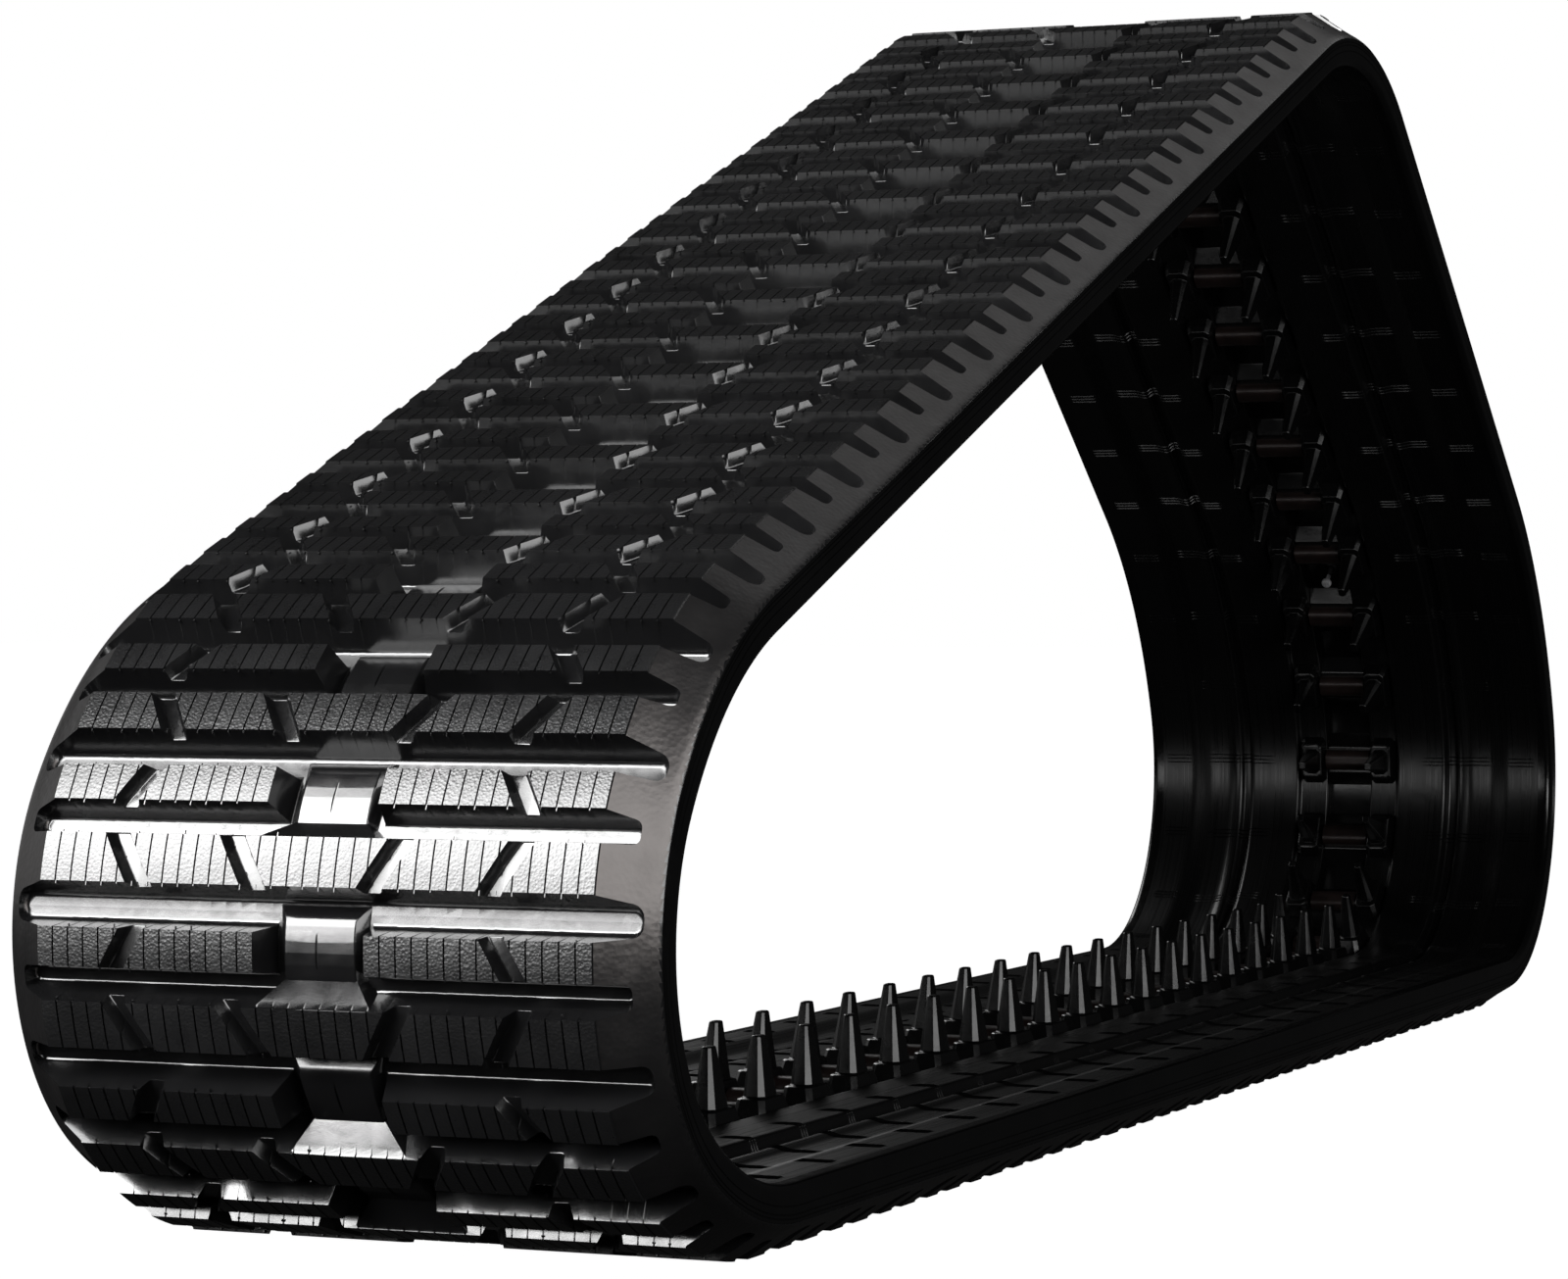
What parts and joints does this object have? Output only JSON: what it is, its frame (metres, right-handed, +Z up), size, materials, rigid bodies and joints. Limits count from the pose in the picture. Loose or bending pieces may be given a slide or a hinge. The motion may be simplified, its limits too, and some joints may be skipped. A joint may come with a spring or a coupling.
{
  "type": "rubber track",
  "caption": "Endless steel-core rubber track with a multi-bar tread, guide horns and sprocket windows, for a compact track loader",
  "frame": {"origin": "on the ground, at the middle of the loop's footprint", "axes": "+X from the front bend to the rear bend, +Y across the belt, +Z up"},
  "size_m": [2.2926, 0.425, 0.9095],
  "materials": {
    "tread_rubber": "moulded black rubber, grained block tops, glossy groove floors",
    "inner_rubber": "moulded black rubber, smooth satin, fine mould lines",
    "ply_fabric": "rubberised ply",
    "cord_steel": "brass-coated steel cord in rubber",
    "core_steel": "forged steel with thin reddish-brown bonding primer",
    "zinc": "bright zinc plate"
  },
  "bodies": {
    "root": {"bias_ply": "ply_fabric", "bridge_skirts": "inner_rubber", "cord_belt_left": "cord_steel", "cord_belt_right": "cord_steel", "core_cushion_left": "inner_rubber", "core_cushion_right": "inner_rubber", "edge_wall_left": "tread_rubber", "edge_wall_right": "tread_rubber", "full_tread_bars": "tread_rubber", "guide_horns_left": "inner_rubber", "guide_horns_right": "inner_rubber", "inner_cover_left": "inner_rubber", "inner_cover_right": "inner_rubber", "split_tread_bars_left": "tread_rubber", "split_tread_bars_right": "tread_rubber", "steel_cores": "core_steel", "tread_base": "tread_rubber", "window_membrane": "inner_rubber", "window_pads": "tread_rubber", "window_stud": "zinc"}
  },
  "joints": []
}
